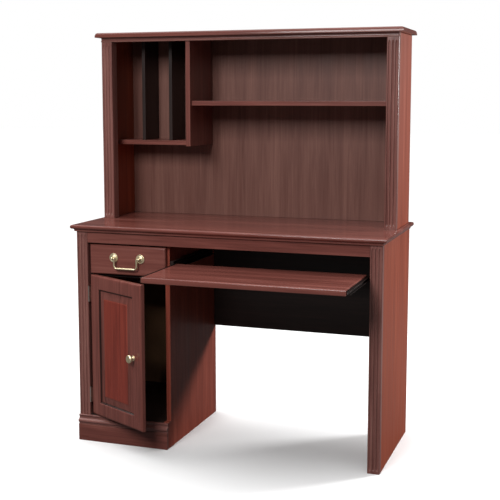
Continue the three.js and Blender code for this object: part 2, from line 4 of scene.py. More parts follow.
import bpy
import numpy as np
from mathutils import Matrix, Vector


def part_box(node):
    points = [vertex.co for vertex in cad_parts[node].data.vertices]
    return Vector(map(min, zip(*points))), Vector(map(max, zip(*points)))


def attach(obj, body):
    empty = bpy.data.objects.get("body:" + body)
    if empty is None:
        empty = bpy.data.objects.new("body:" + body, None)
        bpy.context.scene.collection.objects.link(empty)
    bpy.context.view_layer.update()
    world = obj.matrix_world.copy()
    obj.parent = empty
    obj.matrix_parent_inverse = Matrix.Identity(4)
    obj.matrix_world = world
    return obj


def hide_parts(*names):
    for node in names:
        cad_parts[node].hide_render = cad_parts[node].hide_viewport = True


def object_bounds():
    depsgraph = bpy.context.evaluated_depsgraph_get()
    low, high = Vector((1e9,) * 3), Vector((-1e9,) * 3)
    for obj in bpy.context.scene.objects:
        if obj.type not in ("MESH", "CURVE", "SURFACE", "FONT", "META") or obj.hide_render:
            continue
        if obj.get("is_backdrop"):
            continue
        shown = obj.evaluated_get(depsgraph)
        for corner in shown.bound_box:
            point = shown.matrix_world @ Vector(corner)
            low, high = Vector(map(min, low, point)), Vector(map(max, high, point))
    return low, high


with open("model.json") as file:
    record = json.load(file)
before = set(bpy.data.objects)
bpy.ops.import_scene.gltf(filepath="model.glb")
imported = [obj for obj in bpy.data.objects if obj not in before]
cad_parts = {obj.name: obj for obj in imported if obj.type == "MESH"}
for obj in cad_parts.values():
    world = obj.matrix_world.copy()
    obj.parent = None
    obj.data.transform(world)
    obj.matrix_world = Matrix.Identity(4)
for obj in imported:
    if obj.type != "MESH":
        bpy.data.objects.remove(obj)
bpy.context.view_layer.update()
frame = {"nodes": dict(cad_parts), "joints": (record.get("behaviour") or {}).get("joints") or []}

# ---------------------------------------------------------------- end panels
# The two desk ends, the pedestal's inner side and the two hutch sides are 16 mm particle board,
# faced with a printed cherry laminate. Each is cut square, edge-banded, and screwed from inside.


def paint(red, green, blue):
    """Screen colour, 0 to 255 a channel, as the light-linear colour that a shader takes."""
    share = np.array([red, green, blue]) / 255
    linear = np.where(share <= 0.04045, share / 12.92, ((share + 0.055) / 1.055) ** 2.4)
    return (*linear.tolist(), 1.0)


def toned(colour, share):
    """The colour at a share of its brightness, held to at most 1 a channel."""
    return (*(min(1.0, share * channel) for channel in colour[:3]), 1.0)


def blank_finish(name):
    """A new material with its shader, a call that adds a node, and a call that joins two sockets."""
    material = bpy.data.materials.new(name)
    material.use_nodes = True
    tree = material.node_tree
    shader = tree.nodes["Principled BSDF"]

    def node(kind, settings=None, **sockets):
        made = tree.nodes.new(kind)
        for key, value in (settings or {}).items():
            setattr(made, key, value)
        for key, value in sockets.items():
            made.inputs[key.replace("_", " ")].default_value = value
        return made

    return material, shader, node, tree.links.new


def stretched(node, link, across, along, axis):
    """Object coordinates scaled to `across` cells a metre, but `along` cells a metre on one axis."""
    scale = [across] * 3
    scale["XYZ".index(axis)] = along
    place = node("ShaderNodeMapping", Scale=scale)
    link(node("ShaderNodeTexCoord").outputs["Object"], place.inputs["Vector"])
    return place.outputs["Vector"]


def blend(node, link, share, first, second):
    """Colour that goes from `first` to `second`, each a socket or a plain colour, with socket `share`."""
    mix = node("ShaderNodeMix", {"data_type": "RGBA"})
    link(share, mix.inputs["Factor"])
    for colour, socket in zip((first, second), [s for s in mix.inputs if s.type == "RGBA"]):
        if isinstance(colour, tuple):
            socket.default_value = colour
        else:
            link(colour, socket)
    return next(s for s in mix.outputs if s.type == "RGBA")


# Cells a metre, across the grain and along it.
BROAD_STREAKS = (26, 1.6)
FINE_STREAKS = (260, 7)
WAVES = (62, 2.4)
PORES = (1500, 45)
# Pale arris tone and its reach: partly rubbed wear, partly a painted highlight on the edges.
RUBBED_AND_HIGHLIGHT_COLOUR = paint(226, 186, 164)
RUBBED_AND_HIGHLIGHT_RADIUS = 0.0016


def cherry(name, axis, dark, middle, light, gloss=0.30, figure=0.35, wear_and_highlight=0.30, shine=0.30):
    """Cherry laminate. The colour is a ramp over broad streaks plus fine ones plus a wavy figure, all drawn
    out along `axis`; short pores darken it, and the arrises are painted paler, partly as a little rubbed wear
    and partly as a painted highlight for the light that the rounded edges catch."""
    material, shader, node, link = blank_finish(name)
    broad = node("ShaderNodeTexNoise", Scale=1.0, Detail=4.0, Roughness=0.55, Distortion=0.4)
    link(stretched(node, link, *BROAD_STREAKS, axis), broad.inputs["Vector"])
    fine = node("ShaderNodeTexNoise", Scale=1.0, Detail=6.0, Roughness=0.65)
    link(stretched(node, link, *FINE_STREAKS, axis), fine.inputs["Vector"])
    wavy = node("ShaderNodeTexNoise", Scale=1.0, Detail=2.0, Distortion=1.6)
    link(stretched(node, link, *WAVES, axis), wavy.inputs["Vector"])
    pores = node("ShaderNodeTexNoise", Scale=1.0, Detail=3.0, Roughness=0.7)
    link(stretched(node, link, *PORES, axis), pores.inputs["Vector"])

    first = node("ShaderNodeMix", {"data_type": "FLOAT"}, Factor=0.42)
    link(broad.outputs["Fac"], first.inputs["A"])
    link(fine.outputs["Fac"], first.inputs["B"])
    second = node("ShaderNodeMix", {"data_type": "FLOAT"}, Factor=figure)
    link(first.outputs["Result"], second.inputs["A"])
    link(wavy.outputs["Fac"], second.inputs["B"])
    ramp = node("ShaderNodeValToRGB")
    ramp.color_ramp.elements[0].position = 0.32
    ramp.color_ramp.elements[0].color = dark
    ramp.color_ramp.elements[1].position = 0.70
    ramp.color_ramp.elements[1].color = light
    ramp.color_ramp.elements.new(0.51).color = middle
    link(second.outputs["Result"], ramp.inputs["Fac"])

    pore_mask = node("ShaderNodeMapRange", From_Min=0.60, From_Max=0.72, To_Min=0.0, To_Max=0.35)
    link(pores.outputs["Fac"], pore_mask.inputs["Value"])
    pored = blend(node, link, pore_mask.outputs["Result"], ramp.outputs["Color"], toned(dark, 0.45))

    rounded = node("ShaderNodeBevel", {"samples": 4}, Radius=RUBBED_AND_HIGHLIGHT_RADIUS)
    shape = node("ShaderNodeNewGeometry")
    facing = node("ShaderNodeVectorMath", {"operation": "DOT_PRODUCT"})
    link(rounded.outputs["Normal"], facing.inputs[0])
    link(shape.outputs["Normal"], facing.inputs[1])
    # Paler arrises: partly rubbed wear, partly a painted highlight where the rounded edges catch the light.
    rubbed_and_highlight = node("ShaderNodeMapRange", From_Min=0.995, From_Max=0.86, To_Min=0.0, To_Max=wear_and_highlight)
    link(facing.outputs["Value"], rubbed_and_highlight.inputs["Value"])
    pale = tuple(0.5 * (a + b) for a, b in zip(light, RUBBED_AND_HIGHLIGHT_COLOUR))
    link(blend(node, link, rubbed_and_highlight.outputs["Result"], pored, pale), shader.inputs["Base Color"])

    sheen = node("ShaderNodeMapRange", From_Min=0.3, From_Max=0.7, To_Min=gloss - 0.05, To_Max=gloss + 0.07)
    link(broad.outputs["Fac"], sheen.inputs["Value"])
    link(sheen.outputs["Result"], shader.inputs["Roughness"])
    relief = node("ShaderNodeBump", Strength=0.12, Distance=0.0004)
    link(fine.outputs["Fac"], relief.inputs["Height"])
    link(rounded.outputs["Normal"], relief.inputs["Normal"])
    link(relief.outputs["Normal"], shader.inputs["Normal"])
    shader.inputs["Specular IOR Level"].default_value = shine
    shader.inputs["Coat Weight"].default_value = 0.06
    shader.inputs["Coat Roughness"].default_value = 0.14
    return material


SANDED_ARRIS = 0.0007
SAME_POINT = 0.00002


def dress(material, *nodes, arris=SANDED_ARRIS):
    """Gives CAD boards their finish, and eases their edges by `arris` as a sander does."""
    for name in nodes:
        board = frame["nodes"][name]
        board.data.materials.clear()
        board.data.materials.append(material)
        if arris:
            weld = board.modifiers.new("joined_faces", "WELD")
            weld.merge_threshold = SAME_POINT
            eased = board.modifiers.new("eased_edges", "BEVEL")
            eased.width = arris
            eased.segments = 2
            eased.limit_method = "ANGLE"
            eased.angle_limit = math.radians(40)


END_DARK = paint(130, 58, 38)
END_MIDDLE = paint(152, 70, 46)
END_LIGHT = paint(172, 88, 61)
side_finish = cherry("cherry_side_panel", "Z", END_DARK, END_MIDDLE, END_LIGHT, gloss=0.40, shine=0.16)
dress(side_finish, "left_end_panel", "right_end_panel", "hutch_left_side", "hutch_right_side")
# The pedestal's inner side takes a darker copy of the end panels' laminate: painted shade for the kneehole it
# faces.
partition_shaded_finish = cherry("cherry_partition", "Z", paint(112, 50, 38), paint(138, 66, 52),
                          paint(160, 84, 68), gloss=0.42, shine=0.14)
dress(partition_shaded_finish, "pedestal_partition")

# ---------------------------------------------------------------- fluted posts
# Four solid posts, 40 mm wide, stand at the front corners of the desk and the hutch. A ball-nosed
# cutter runs three stopped flutes down each face, and a rebate behind takes the end panel.


def closed_mesh(name, grid, material, body, stands_for, crease=32, paint_rows=None):
    """Skin over a grid of points (rows, columns, 3): each row is a closed ring, neighbouring rows are
    joined by four-sided faces, and the first and last rows are capped. The faces are turned outwards
    when the volume, a sum of triple products over the grid's triangles, comes out negative."""
    rows, columns = grid.shape[:2]
    number = np.arange(rows * columns).reshape(rows, columns)
    ahead = np.roll(number, -1, axis=1)
    sides = np.stack([number[1:], ahead[1:], ahead[:-1], number[:-1]], 2).reshape(-1, 4)
    points = grid.reshape(-1, 3)
    a, b, c, d = (points[sides[:, k]] for k in range(4))
    volume = (a * (np.cross(b, c) + np.cross(c, d))).sum()
    for ring in (number[0], number[-1][::-1]):
        volume += (points[ring[0]] * np.cross(points[ring[1:-1]], points[ring[2:]])).sum()
    faces = [list(f) for f in sides.tolist()] + [number[0].tolist(), number[-1][::-1].tolist()]
    if volume < 0:
        faces = [f[::-1] for f in faces]
    mesh = bpy.data.meshes.new(name)
    mesh.from_pydata(points.tolist(), [], faces)
    mesh.shade_smooth()
    mesh.set_sharp_from_angle(angle=math.radians(crease))
    for finish in material if isinstance(material, (list, tuple)) else [material]:
        mesh.materials.append(finish)
    if paint_rows is not None:
        round_sides = np.repeat(paint_rows(np.arange(rows - 1)), columns)
        chosen = np.concatenate([round_sides, paint_rows(np.array([0, rows]))])
        mesh.polygons.foreach_set("material_index", chosen.astype(np.int32))
    piece = bpy.data.objects.new(name, mesh)
    bpy.context.scene.collection.objects.link(piece)
    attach(piece, body)
    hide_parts(stands_for)


def arc(cx, cy, rx, ry, start, stop, count):
    """Points on an ellipse about (cx, cy), from one angle to another, in radians."""
    angle = np.linspace(start, stop, count)
    return np.stack([cx + rx * np.cos(angle), cy + ry * np.sin(angle)], 1)


FLUTE_HALF = 0.0040
FLUTE_DEEP = 0.0037
FLUTE_PITCH = 0.0115
FLUTE_STOP = 0.010
RUN_OUT = 3.0
POST_ARRIS = 0.003
REBATE = 0.0163
POST_FRONT = 0.020
FACE_STEPS = 96
ARRIS_STEPS = 7
LIFT_STEPS = 11
LIFT_MARGIN = 1.05


def fluted_post(node):
    """Grid round a post's outline, repeated up its height. The face is pushed in by the depth that a ball
    of radius R reaches when its centre runs along each flute's line between the two stops:
    sqrt(R^2 - across^2 - past_the_stop^2), less how far the centre stands in front of the face. The
    cutter is lifted slowly, so a length past the stop counts for a third of itself."""
    low, high = (np.array(corner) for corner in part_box(node))
    width = high[0] - low[0]
    ball = (FLUTE_HALF ** 2 + FLUTE_DEEP ** 2) / (2 * FLUTE_DEEP)
    face_x = np.linspace(POST_ARRIS, width - POST_ARRIS, FACE_STEPS)
    front = np.stack([face_x, np.zeros_like(face_x)], 1)
    round_to = (POST_ARRIS, POST_ARRIS, POST_ARRIS)
    outer = arc(POST_ARRIS, *round_to, math.pi, 1.5 * math.pi, ARRIS_STEPS)[:-1]
    inner = arc(width - POST_ARRIS, *round_to, -math.pi / 2, 0, ARRIS_STEPS)[1:]
    depth = high[1] - low[1]
    back = np.array([[width, depth], [REBATE, depth], [REBATE, POST_FRONT], [0.0, POST_FRONT]])
    outline = np.concatenate([outer, front, inner, back])
    first = low[2] + FLUTE_STOP + RUN_OUT * FLUTE_HALF
    last = high[2] - FLUTE_STOP - RUN_OUT * FLUTE_HALF
    ends = RUN_OUT * FLUTE_HALF * np.linspace(LIFT_MARGIN, 0, LIFT_STEPS)
    straight = np.linspace(first, last, 5)[1:-1]
    height = np.concatenate([[low[2]], first - ends, straight, last + ends[::-1], [high[2]]])
    middles = width / 2 + FLUTE_PITCH * np.array([-1, 0, 1])
    across = np.abs(outline[:, 0][:, None] - middles).min(1)
    past = np.abs(height - np.clip(height, first, last)) / RUN_OUT
    reach = ball ** 2 - across[None, :] ** 2 - past[:, None] ** 2
    cut = np.clip(np.sqrt(np.clip(reach, 0, None)) - (ball - FLUTE_DEEP), 0, None)
    place = np.arange(len(outline))
    cut *= (place >= len(outer)) & (place < len(outer) + len(front))
    x_in = np.broadcast_to(outline[:, 0], cut.shape)
    x = low[0] + x_in if low[0] < 0 else high[0] - x_in
    y = low[1] + outline[:, 1] + cut
    z = np.broadcast_to(height[:, None], cut.shape)
    return np.stack([x, y, z], 2)


# Cherry greyed and lightened: these tones add a painted sheen, the glossy reflection of the posts and
# mouldings, on top of their own colour.
POST_SHEEN_DARK = paint(94, 56, 51)
POST_SHEEN_MIDDLE = paint(132, 84, 77)
POST_SHEEN_LIGHT = paint(160, 112, 103)
post_sheen_finish = cherry("cherry_moulding", "Z", POST_SHEEN_DARK, POST_SHEEN_MIDDLE, POST_SHEEN_LIGHT, gloss=0.26, wear_and_highlight=0.6,
                     shine=0.5)
for post_node in ("left_post", "right_post", "hutch_left_post", "hutch_right_post"):
    closed_mesh(post_node + "_fluted", fluted_post(post_node), post_sheen_finish, "frame", post_node)

# ---------------------------------------------------------------- worktop
# A 22 mm board with its front and two side edges routed: a round nose high on the edge, a hollow
# under it and a straight foot. The face is a glossy printed cherry with its grain along the desk.


def moulded_slab(low, high, profile):
    """Level slab as a grid: row i is the slab's rectangle at profile[i, 1] below the top, drawn in by
    profile[i, 0] at the front and the two sides, while the back edge stays where it is."""
    inset, drop = profile[:, 0], profile[:, 1]
    x = np.stack([low[0] + inset, high[0] - inset, high[0] - inset, low[0] + inset], 1)
    back = np.full_like(inset, high[1])
    y = np.stack([low[1] + inset, low[1] + inset, back, back], 1)
    z = np.repeat((high[2] - drop)[:, None], 4, 1)
    return np.stack([x, y, z], 2)


FRONT_DARK = paint(90, 49, 43)
FRONT_MIDDLE = paint(122, 69, 61)
FRONT_LIGHT = paint(148, 92, 82)
level_finish = cherry("cherry_level_board", "X", FRONT_DARK, FRONT_MIDDLE, FRONT_LIGHT, gloss=0.20, wear_and_highlight=0.6)
WORKTOP_EDGE = 0.001 * np.concatenate([
    [[6.6, 0]],
    arc(6.0, 6.5, 6.0, 6.5, -math.pi / 2, -math.pi, 14),
    arc(6.0, 6.5, 6.0, 7.0, math.pi, 0.5 * math.pi, 14)[1:],
    arc(6.0, 18.5, 5.0, 5.0, -math.pi / 2, 0, 10)[1:],
    [[11.0, 21.6], [11.4, 22]],
])
low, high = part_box("worktop")
closed_mesh("worktop_moulded", moulded_slab(low, high, WORKTOP_EDGE), level_finish, "frame",
            "worktop")

# ---------------------------------------------------------------- apron and modesty panel
# The apron is a 38 mm rail between the posts, doweled up under the worktop. The modesty panel is a plain
# board across the back of the kneehole that keeps the frame square. It and the boards inside the pedestal,
# the tray fittings and the hutch dividers take a near-black copy of the laminate, which is painted shade for
# the dim places they stand in.

# Near-black laminate tones: painted shade for the boards in the kneehole and inside the pedestal, tray and
# hutch.
INSIDE_SHADE_DARK = paint(30, 20, 18)
INSIDE_SHADE_MIDDLE = paint(42, 28, 25)
INSIDE_SHADE_LIGHT = paint(56, 37, 32)
rail_finish = cherry("cherry_rail", "X", FRONT_DARK, FRONT_MIDDLE, FRONT_LIGHT, gloss=0.30)
shaded_level_finish = cherry("dark_laminate_level", "X", INSIDE_SHADE_DARK, INSIDE_SHADE_MIDDLE, INSIDE_SHADE_LIGHT, gloss=0.5,
                           wear_and_highlight=0.1)
shaded_upright_finish = cherry("dark_laminate_upright", "Z", INSIDE_SHADE_DARK, INSIDE_SHADE_MIDDLE, INSIDE_SHADE_LIGHT,
                             gloss=0.5, wear_and_highlight=0.15)
dress(rail_finish, "apron_rail")
dress(shaded_level_finish, "modesty_panel")

# ---------------------------------------------------------------- pedestal boards
# The cabinet floor and the board under the drawer are laminated shelves, notched round the post. The
# back is thin bare hardboard, nailed on.


def bare_board(name, tone):
    """Pressed wood fibre: a speckle of short fibres over a slow change of tone."""
    material, shader, node, link = blank_finish(name)
    where = node("ShaderNodeTexCoord")
    fibres = node("ShaderNodeTexNoise", Scale=900.0, Detail=8.0, Roughness=0.75)
    patches = node("ShaderNodeTexNoise", Scale=7.0, Detail=2.0)
    link(where.outputs["Object"], fibres.inputs["Vector"])
    link(where.outputs["Object"], patches.inputs["Vector"])
    both = node("ShaderNodeMix", {"data_type": "FLOAT"}, Factor=0.35)
    link(fibres.outputs["Fac"], both.inputs["A"])
    link(patches.outputs["Fac"], both.inputs["B"])
    ramp = node("ShaderNodeValToRGB")
    ramp.color_ramp.elements[0].position = 0.34
    ramp.color_ramp.elements[0].color = toned(tone, 0.5)
    ramp.color_ramp.elements[1].position = 0.64
    ramp.color_ramp.elements[1].color = toned(tone, 1.25)
    link(both.outputs["Result"], ramp.inputs["Fac"])
    link(ramp.outputs["Color"], shader.inputs["Base Color"])
    relief = node("ShaderNodeBump", Strength=0.25, Distance=0.0003)
    link(fibres.outputs["Fac"], relief.inputs["Height"])
    link(relief.outputs["Normal"], shader.inputs["Normal"])
    shader.inputs["Roughness"].default_value = 0.82
    return material


hardboard = bare_board("bare_hardboard", paint(128, 92, 62))
# The cabinet floor and the drawer divider take the near-black painted shade.
dress(shaded_level_finish, "cabinet_floor", "drawer_divider")
dress(hardboard, "pedestal_back", arris=0)

# ---------------------------------------------------------------- plinth
# The plinth board is fixed across the front of the pedestal, and the base cap above it is a length
# of moulding: a bead at the top, a hollow, and a larger bead over a flat foot.


def length_of_moulding(x0, x1, section):
    """Moulding as a grid of two rings: the (y, z) section at each of its two ends."""
    ring = np.concatenate([np.zeros((len(section), 1)), section], 1)
    return np.stack([ring + [x0, 0, 0], ring + [x1, 0, 0]])


low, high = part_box("plinth_cap_moulding")
cap_mm = 1000 * (high[2] - low[2])
BASE_CAP = 0.001 * np.concatenate([
    [[0, cap_mm]],
    arc(-3, cap_mm - 3.5, 3.5, 3.5, math.pi / 2, 1.5 * math.pi, 14),
    arc(-9.5, cap_mm - 7, 6, 9, 0, -math.pi / 2, 12),
    arc(-8, 11.2, 4, 5.5, 0.6 * math.pi, 1.5 * math.pi, 14),
    [[-6.5, 5.4], [-6.5, 0], [0, 0]],
])
# The posts' lightened tones again: a painted sheen on the base cap and the cornice.
cap_sheen_finish = cherry("cherry_level_moulding", "X", POST_SHEEN_DARK, POST_SHEEN_MIDDLE, POST_SHEEN_LIGHT, gloss=0.26, wear_and_highlight=0.6,
                    shine=0.5)
closed_mesh("plinth_cap_run", length_of_moulding(low[0], high[0], BASE_CAP + [high[1], low[2]]), cap_sheen_finish,
            "frame", "plinth_cap_moulding")
dress(rail_finish, "plinth_board")

# ---------------------------------------------------------------- drawer
# The front is a 16 mm board with its four edges rounded over. It is screwed to a plain box with a
# hardboard bottom, and the box runs on a pair of steel slides.


def moulded_panel(x0, x1, z0, z1, front, profile):
    """Upright panel facing the user as a grid: row i is its rectangle drawn in by profile[i, 0] on all
    four sides, at profile[i, 1] behind the front plane."""
    inset, depth = profile[:, 0], profile[:, 1]
    x = np.stack([x0 + inset, x1 - inset, x1 - inset, x0 + inset], 1)
    z = np.stack([z0 + inset, z0 + inset, z1 - inset, z1 - inset], 1)
    y = np.repeat((front + depth)[:, None], 4, 1)
    return np.stack([x, y, z], 2)


ROUNDED_EDGE = 0.001 * np.concatenate([
    [[0.4, 16], [0, 15.6]],
    arc(9, 6, 9, 6, math.pi, 1.5 * math.pi, 12),
])
low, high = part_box("drawer_front")
closed_mesh("drawer_front_moulded", moulded_panel(low[0], high[0], low[2], high[2], low[1], ROUNDED_EDGE),
            rail_finish, "drawer", "drawer_front")
# The drawer box takes the near-black painted shade.
dress(shaded_level_finish, "drawer_left_side", "drawer_right_side", "drawer_back")
dress(hardboard, "drawer_bottom", "drawer_slide_packer", arris=0)


def metal(name, colour, rough, tarnish=0.25):
    """Plated metal: fine wear in the roughness, and a darker film that settles in patches."""
    material, shader, node, link = blank_finish(name)
    where = node("ShaderNodeTexCoord")
    wear = node("ShaderNodeTexNoise", Scale=600.0, Detail=5.0, Roughness=0.6)
    film = node("ShaderNodeTexNoise", Scale=90.0, Detail=3.0)
    link(where.outputs["Object"], wear.inputs["Vector"])
    link(where.outputs["Object"], film.inputs["Vector"])
    patch = node("ShaderNodeMapRange", From_Min=0.45, From_Max=0.75, To_Min=0.0, To_Max=tarnish)
    link(film.outputs["Fac"], patch.inputs["Value"])
    filmed = blend(node, link, patch.outputs["Result"], colour, toned(colour, 0.45))
    link(filmed, shader.inputs["Base Color"])
    scuffed = node("ShaderNodeMapRange", From_Min=0.3, From_Max=0.7, To_Min=rough - 0.06, To_Max=rough + 0.08)
    link(wear.outputs["Fac"], scuffed.inputs["Value"])
    link(scuffed.outputs["Result"], shader.inputs["Roughness"])
    shader.inputs["Metallic"].default_value = 1.0
    return material


zinc = metal("zinc_plated_steel", paint(176, 177, 176), 0.38)
dress(zinc, "drawer_slide_left_fixed", "drawer_slide_left_moving", "drawer_slide_right_fixed",
      "drawer_slide_right_moving", arris=0)

# ---------------------------------------------------------------- drawer pull
# A cast bail hangs between two turned brass posts, each on a stepped round plate. The bail's bar is
# swollen between two collars, and its arms turn in the heads of the posts.


LATHE_STEPS = 48


def turned(profile, base):
    """Piece turned on a lathe: each (radius, height) of the profile swept round the line that leaves
    `base` towards the user. The first and last radii are above zero, so that their rings can be capped."""
    angle = np.linspace(0, 2 * math.pi, LATHE_STEPS, endpoint=False)
    x = base[0] + profile[:, :1] * np.cos(angle)
    z = base[2] + profile[:, :1] * np.sin(angle)
    y = np.broadcast_to(base[1] - profile[:, 1:], x.shape)
    return np.stack([x, y, z], 2)


brass = metal("polished_brass", paint(255, 240, 202), 0.42, tarnish=0.16)
HEAD = 0.005
swing = next(j for j in frame["joints"] if j["name"] == "bail_swing")["pos_m"]
drawer_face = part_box("drawer_front")[0][1]
stand = drawer_face - swing[1]
ROSETTE = np.concatenate([
    0.001 * np.array([[0.4, 0.3], [15.3, 0.3]]),
    0.001 * arc(14.2, 1.5, 1.3, 1.2, -math.pi / 2, math.pi / 2, 9),
    0.001 * arc(11.8, 4.0, 2.0, 1.8, -0.4 * math.pi, -math.pi, 7),
    0.001 * arc(5.8, 3.2, 4.0, 1.4, 0.15 * math.pi, 0.5 * math.pi, 7),
    0.001 * np.array([[4.6, 5.2], [3.5, 6.6], [3.1, 8.4], [3.1, 1000 * stand - 4.3]]),
    arc(0, stand, HEAD, HEAD, -0.9, 0.5 * math.pi - 0.06, 16),
])
for side in ("left", "right"):
    low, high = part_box("pull_rosette_" + side)
    base = ((low[0] + high[0]) / 2, drawer_face, (low[2] + high[2]) / 2)
    closed_mesh(f"pull_rosette_{side}_turned", turned(ROSETTE, base), brass, "drawer",
                "pull_rosette_" + side, crease=40)

ARM = 0.0030
BAR = 0.0040
BAR_HALF = 0.0285
BAR_TAPER = 0.0006
COLLAR = 0.0006
COLLAR_AT = 0.0300
COLLAR_SPREAD = 0.0012
HALF_GAP = 0.0437
ARM_X = HALF_GAP - 0.0023
WALK_STEPS = 260
WINDOW = 13
RING_STEPS = 20
drop = swing[2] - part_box("bail_handle")[0][2] - ARM


def bail(middle):
    """Rod carried along a bent line: the line is walked at even steps and its corners are rounded by
    averaging over a short window, and the radius grows to the bar's between two small collars."""
    corners = np.array([[HALF_GAP, 0], [HALF_GAP - 0.002, 0], [ARM_X - 0.0007, -0.004], [ARM_X, -0.012],
                        [ARM_X, 0.009 - drop], [ARM_X - 0.0052, -drop]])
    corners = np.concatenate([corners * [-1, 1], [[0, -drop]], corners[::-1]])
    run = np.concatenate([[0], np.cumsum(np.hypot(*np.diff(corners, axis=0).T))])
    steps = np.linspace(0, run[-1], WALK_STEPS)
    x, z = np.interp(steps, run, corners[:, 0]), np.interp(steps, run, corners[:, 1])
    inside = slice(WINDOW // 2, -(WINDOW // 2))
    window = np.ones(WINDOW) / WINDOW
    x[inside], z[inside] = np.convolve(x, window, "valid"), np.convolve(z, window, "valid")
    hanging = z < -0.6 * drop
    bar = 1 / (1 + np.exp((np.abs(x) - BAR_HALF) / BAR_TAPER)) * hanging
    collar = np.exp(-(((np.abs(x) - COLLAR_AT) / COLLAR_SPREAD) ** 2)) * hanging
    radius = ARM + (BAR - ARM) * bar + COLLAR * collar
    way = np.stack([np.gradient(x), np.gradient(z)], 1)
    way /= np.hypot(*way.T)[:, None]
    angle = np.linspace(0, 2 * math.pi, RING_STEPS, endpoint=False)
    spread = radius[:, None] * np.sin(angle)
    px = middle[0] + x[:, None] - way[:, 1:] * spread
    pz = middle[2] + z[:, None] + way[:, :1] * spread
    py = middle[1] + radius[:, None] * np.cos(angle)
    return np.stack([px, py, pz], 2)


closed_mesh("bail_cast", bail(swing), brass, "bail", "bail_handle", crease=45)

# ---------------------------------------------------------------- door
# A 16 mm door, routed to look framed: rounded edges, a flat frame, a quirk, a sloping border and a
# raised field. It hangs ajar on two plated butt hinges in the gap beside the post.

door_joint = next(j for j in frame["joints"] if j["name"] == "door_hinge")
AJAR = math.radians(-door_joint["range_deg"][0])
pivot = np.array(door_joint["pos_m"])


def hung(points):
    """Turns points on the shut door about the hinge line, by the angle that it stands ajar."""
    across, ahead = math.cos(AJAR), math.sin(AJAR)
    turn = np.array([[across, ahead, 0], [-ahead, across, 0], [0, 0, 1]])
    return (points - pivot) @ turn.T + pivot


DOOR_GAP = 0.004
DOOR_WIDTH = 0.281
PIN_AHEAD = 0.005
door_left = pivot[0] + DOOR_GAP / 2
door_face = pivot[1] + PIN_AHEAD
low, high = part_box("door_panel")
FRAME_LIP = 0.001 * arc(43, 1.4, 2.6, 1.4, -math.pi / 2, 0, 6)
QUIRK = 0.001 * np.array([[46.4, 2.4], [48.4, 6.0], [49.4, 7.0], [51.4, 7.0]])
FIELD = 0.001 * np.array([[75.0, 1.6], [75.8, 1.3], [76.4, 0.7], [77.2, 0.2]])
DOOR_FACE = np.concatenate([ROUNDED_EDGE, FRAME_LIP, QUIRK, FIELD])
quirk_row = len(ROUNDED_EDGE) + len(FRAME_LIP)
field_row = quirk_row + len(QUIRK)
slope_row = field_row - 1
door_frame_finish = cherry("cherry_door_frame", "Z", FRONT_DARK, FRONT_MIDDLE, FRONT_LIGHT)
door_field_finish = cherry("cherry_door_field", "Z", paint(104, 42, 34), paint(134, 56, 44),
                           paint(158, 74, 58), figure=0.5)
# A near-black copy of the cherry on the quirk rows: painted shade in the groove round the field.
door_quirk_shade_finish = cherry("cherry_door_quirk", "Z", paint(34, 17, 15), paint(52, 26, 22), paint(72, 36, 31))
door_grid = moulded_panel(door_left, door_left + DOOR_WIDTH, low[2], high[2], door_face, DOOR_FACE)
closed_mesh("door_routed", hung(door_grid), [door_frame_finish, door_field_finish, door_quirk_shade_finish], "door",
            "door_panel",
            paint_rows=lambda row: (row >= field_row) + 2 * ((row >= quirk_row) & (row < slope_row)))

KNOB_IN = 0.239
KNOB_HEIGHT = 0.333
KNOB = np.concatenate([
    0.001 * np.array([[0.4, 0.3], [9.0, 0.3]]),
    0.001 * arc(7.9, 1.5, 1.2, 1.1, -math.pi / 2, math.pi / 2, 7),
    0.001 * arc(8.4, 6.6, 3.9, 4.0, -0.55 * math.pi, -math.pi, 8),
    0.001 * np.array([[4.4, 9.5], [5.2, 11.8]]),
    0.001 * arc(8.6, 17.2, 5.6, 5.2, -0.62 * math.pi, 0.5 * math.pi, 16),
    0.001 * np.array([[6.6, 21.6], [4.6, 20.9], [2.4, 21.1], [0.4, 21.5]]),
])
knob_grid = turned(KNOB, (door_left + KNOB_IN, door_face, KNOB_HEIGHT))
closed_mesh("door_knob_turned", hung(knob_grid), brass, "door", "door_knob", crease=50)

nickel = metal("nickel_plate", paint(214, 208, 198), 0.30)
dress(nickel, "hinge_lower_post_leaf", "hinge_lower_door_leaf", "hinge_lower_pin", "hinge_upper_post_leaf",
      "hinge_upper_door_leaf", "hinge_upper_pin", "catch_strike", arris=0)


def moulded_plastic(name, colour):
    """Dark moulded plastic with a fine spark texture."""
    material, shader, node, link = blank_finish(name)
    where = node("ShaderNodeTexCoord")
    spark = node("ShaderNodeTexNoise", Scale=1400.0, Detail=2.0)
    link(where.outputs["Object"], spark.inputs["Vector"])
    ramp = node("ShaderNodeValToRGB")
    ramp.color_ramp.elements[0].color = toned(colour, 0.8)
    ramp.color_ramp.elements[1].color = toned(colour, 1.2)
    link(spark.outputs["Fac"], ramp.inputs["Fac"])
    link(ramp.outputs["Color"], shader.inputs["Base Color"])
    relief = node("ShaderNodeBump", Strength=0.2, Distance=0.0002)
    link(spark.outputs["Fac"], relief.inputs["Height"])
    link(relief.outputs["Normal"], shader.inputs["Normal"])
    shader.inputs["Roughness"].default_value = 0.55
    return material


dress(moulded_plastic("brown_plastic", paint(44, 32, 29)), "magnet_catch", arris=0)

# ---------------------------------------------------------------- keyboard tray
# An 18 mm glossy board with eased edges, hung between two slides. Spacers on the partition and the
# right end bring the slides clear of the posts.

